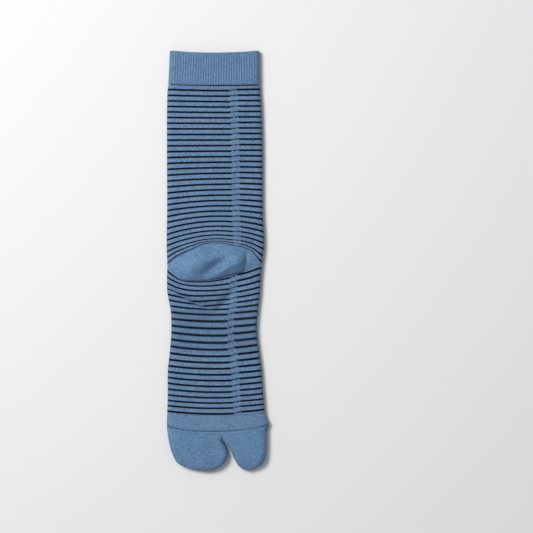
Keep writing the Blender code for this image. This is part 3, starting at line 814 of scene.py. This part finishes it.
# Toe cap: one terry skin from the seam, dividing at the crotch into two pockets. Share along the pocket,
# left and right as shares of the leg's width, height as a share of the mouth's
smallToes = [
    (0.00, -0.484, 0.0785, 1.00),
    (0.20, -0.470, 0.114, 1.00),
    (0.40, -0.450, 0.137, 1.00),
    (0.58, -0.425, 0.128, 0.98),
    (0.74, -0.392, 0.101, 0.88),
    (0.86, -0.318, 0.057, 0.72),
    (0.94, -0.232, 0.003, 0.52),
    (0.985, -0.155, -0.040, 0.28),
    (1.00, -0.098, -0.097, 0.02),
]
bigToe = [
    (0.00, 0.0785, 0.543, 1.00),
    (0.20, 0.131, 0.542, 1.00),
    (0.40, 0.171, 0.540, 1.00),
    (0.58, 0.197, 0.533, 0.98),
    (0.73, 0.221, 0.514, 0.88),
    (0.85, 0.246, 0.480, 0.72),
    (0.94, 0.280, 0.428, 0.52),
    (0.985, 0.318, 0.384, 0.28),
    (1.00, 0.350, 0.351, 0.02),
]
toe = dict(
    baseRows=26, lobeRows=64, columns=90, wall=2.2 * mm, thinnest=0.02 * mm, weld=0.02 * mm,
    divideAcross=0.1, sinkPower=2.2,  # where the tube divides, and how late it sinks to the crotch
    seamRoll=1.5 * mm, rollWidth=0.6 * mm, ridge=0.45 * mm, ridgePlace=1.6 * mm, ridgeWidth=1.0 * mm,
)


def quarterRound(gap, rounding):
    # 0 on a fold to 1 at the end of its rounding, by a quarter of a circle
    inward = 1 - np.clip(gap / np.maximum(rounding, 1e-6), 0, 1)
    return np.sqrt(np.clip(1 - inward**2, 0, 1))


def toeSheets(lobe, length, outerIsLeft):
    # the upper and lower sheets of one pocket and of its half of the base, each from its outer fold to
    # the dividing line. level falls to 0 on a fold; the dividing line sinks to a fold at the crotch
    base = np.linspace(0, 1, toe["baseRows"])[:-1]
    tip = np.sin(np.linspace(0, 1, toe["lobeRows"]) * math.pi / 2)
    onBase = np.concatenate([base, np.ones(len(tip))])[:, None]
    onLobe = np.concatenate([np.zeros(len(base)), tip])[:, None]
    column = np.linspace(0, 1, toe["columns"])[None, :]
    column = 0.5 - 0.5 * np.cos(math.pi * column)
    divide = smallToes[0][2] * sock["legWidth"]
    sheets = []
    for side in (1, -1):
        seamMiddle = seamLine(np.array([[toe["divideAcross"]]]), side)
        yRow = seamMiddle + (crotchY - seamMiddle) * onBase - length * onLobe
        left, right, height = sectionAt(yRow)
        lobeLeft = curve(lobe, 1, onLobe) * sock["legWidth"]
        lobeRight = curve(lobe, 2, onLobe) * sock["legWidth"]
        inLobe = onLobe > 0
        if outerIsLeft:
            low, high = np.where(inLobe, lobeLeft, left), np.where(inLobe, lobeRight, divide)
            x = low + (high - low) * column
        else:
            low, high = np.where(inLobe, lobeLeft, divide), np.where(inLobe, lobeRight, right)
            x = high + (low - high) * column
        across = 2 * (x - left) / (right - left) - 1
        ySeam = seamLine(np.clip(across, -1, 1), side)
        y = ySeam + (crotchY - ySeam) * onBase - length * onLobe
        rounding = np.minimum(sock["foldRounding"], (high - low) / 2)
        outerGap = np.abs(x - (low if outerIsLeft else high))
        innerGap = np.abs(x - (high if outerIsLeft else low))
        sink = onBase ** toe["sinkPower"]
        level = quarterRound(outerGap, rounding) * (1 - sink * (1 - quarterRound(innerGap, rounding)))
        full = np.where(inLobe, curve(lobe, 3, onLobe), 1.0) * height
        rest = (height - sock["crown"]) / 2
        half = np.maximum((full - sock["crown"]) / 2, toe["thinnest"])
        distance = ySeam - y
        roll = -toe["seamRoll"] * np.exp(-distance / toe["rollWidth"])
        ridge = toe["ridge"] * np.exp(-(((distance - toe["ridgePlace"]) / toe["ridgeWidth"]) ** 2))
        crown = sock["crown"] * (1 - np.clip(across, -1, 1) ** 2)
        top = crown + roll + ridge + seamTucks(across, distance) + softness(toeLumps, x, y)
        z = rest + side * half * level + (top * level if side > 0 else 0)
        sheets.append(np.stack([x + legCentreX, y + heelLineY, z], -1))
    return sheets


def toeCap():
    meshes = []
    for lobe, length, outerIsLeft in (
        (smallToes, sock["smallToesLength"], True),
        (bigToe, sock["bigToeLength"], False),
    ):
        upper, lower = toeSheets(lobe, length, outerIsLeft)
        for sheet, flip in ((upper, not outerIsLeft), (lower, outerIsLeft)):
            grid = sheet[:, ::-1] if flip else sheet
            rows, columns = grid.shape[:2]
            u = np.broadcast_to(np.arange(columns + 1.0), (rows, columns + 1))
            v = np.broadcast_to(np.arange(float(rows))[:, None], (rows, columns))
            meshes.append(gridMesh("toeSheet", grid, (u, v), False))
    bm = bmesh.new()
    for mesh in meshes:
        bm.from_mesh(mesh)
        bpy.data.meshes.remove(mesh)
    bmesh.ops.remove_doubles(bm, verts=bm.verts, dist=toe["weld"])
    bmesh.ops.recalc_face_normals(bm, faces=bm.faces)
    mesh = bpy.data.meshes.new("toeCapTerry")
    bm.to_mesh(mesh)
    bm.free()
    mesh.shade_smooth()
    return addPiece(
        mesh, terryToe, ["toe_base", "small_toes_pocket", "big_toe_pocket"], toe["wall"]
    )


toeCap()
print("toe cap ready")

# Floor, light and camera
studio = dict(
    photoCentre=(50.3 * mm, -0.5 * mm),  # from the leg's centre line and the heel line
    viewWidth=520.2 * mm,
    cameraHeight=2.2,
    sensor=36.0,
    floorSize=6.0,
    floorColour="#e7e6e5",
    floorRoughness=0.7,
    keyPlace=(-1.12, 0.80, 1.85),        # a large soft box up and to the left
    keyTarget=(0.0, 0.5, 0.0),
    keySize=1.0,
    keyPower=48,
    keyTint=(1.0, 0.995, 0.985),
    airColour="#f2f6fc",
    airStrength=0.38,
)


def makeFloor():
    size = studio["floorSize"] / 2
    mesh = bpy.data.meshes.new("floor")
    corners = [(-size, -size, 0), (size, -size, 0), (size, size, 0), (-size, size, 0)]
    mesh.from_pydata(corners, [], [(0, 1, 2, 3)])
    floor = bpy.data.objects.new("floor", mesh)
    bpy.context.collection.objects.link(floor)
    material = bpy.data.materials.new("paintedFloorBoard")
    material.use_nodes = True
    shader = material.node_tree.nodes["Principled BSDF"]
    shader.inputs["Base Color"].default_value = colour(studio["floorColour"])
    shader.inputs["Roughness"].default_value = studio["floorRoughness"]
    mesh.materials.append(material)
    floor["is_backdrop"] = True


def makeKeyLight(centre):
    data = bpy.data.lights.new("keyLight", "AREA")
    data.shape = "DISK"
    data.size = studio["keySize"]
    data.energy = studio["keyPower"]
    data.color = studio["keyTint"]
    light = bpy.data.objects.new("keyLight", data)
    bpy.context.collection.objects.link(light)
    place, target = Vector(studio["keyPlace"]), Vector(studio["keyTarget"])
    light.location = centre + place
    light.rotation_euler = (target - place).to_track_quat("-Z", "Y").to_euler()


def makeStudio():
    centre = Vector((legCentreX + studio["photoCentre"][0], heelLineY + studio["photoCentre"][1], 0))
    makeKeyLight(centre)
    world = bpy.data.worlds.new("studioAir")
    bpy.context.scene.world = world
    world.use_nodes = True
    air = world.node_tree.nodes["Background"]
    air.inputs["Color"].default_value = colour(studio["airColour"])
    air.inputs["Strength"].default_value = studio["airStrength"]
    bpy.context.scene.view_settings.view_transform = "Standard"
    data = bpy.data.cameras.new("photoCamera")
    data.sensor_width = studio["sensor"]
    data.lens = studio["sensor"] * studio["cameraHeight"] / studio["viewWidth"]
    camera = bpy.data.objects.new("photoCamera", data)
    bpy.context.collection.objects.link(camera)
    camera.location = centre + Vector((0, 0, studio["cameraHeight"]))
    camera.rotation_euler = (0, 0, 0)
    bpy.context.scene.camera = camera


makeFloor()
makeStudio()
print("studio ready")

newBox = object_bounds()
boxes = dict(cad=cadBox, visual=newBox)
{name: [list(corner) for corner in box] for name, box in boxes.items()}
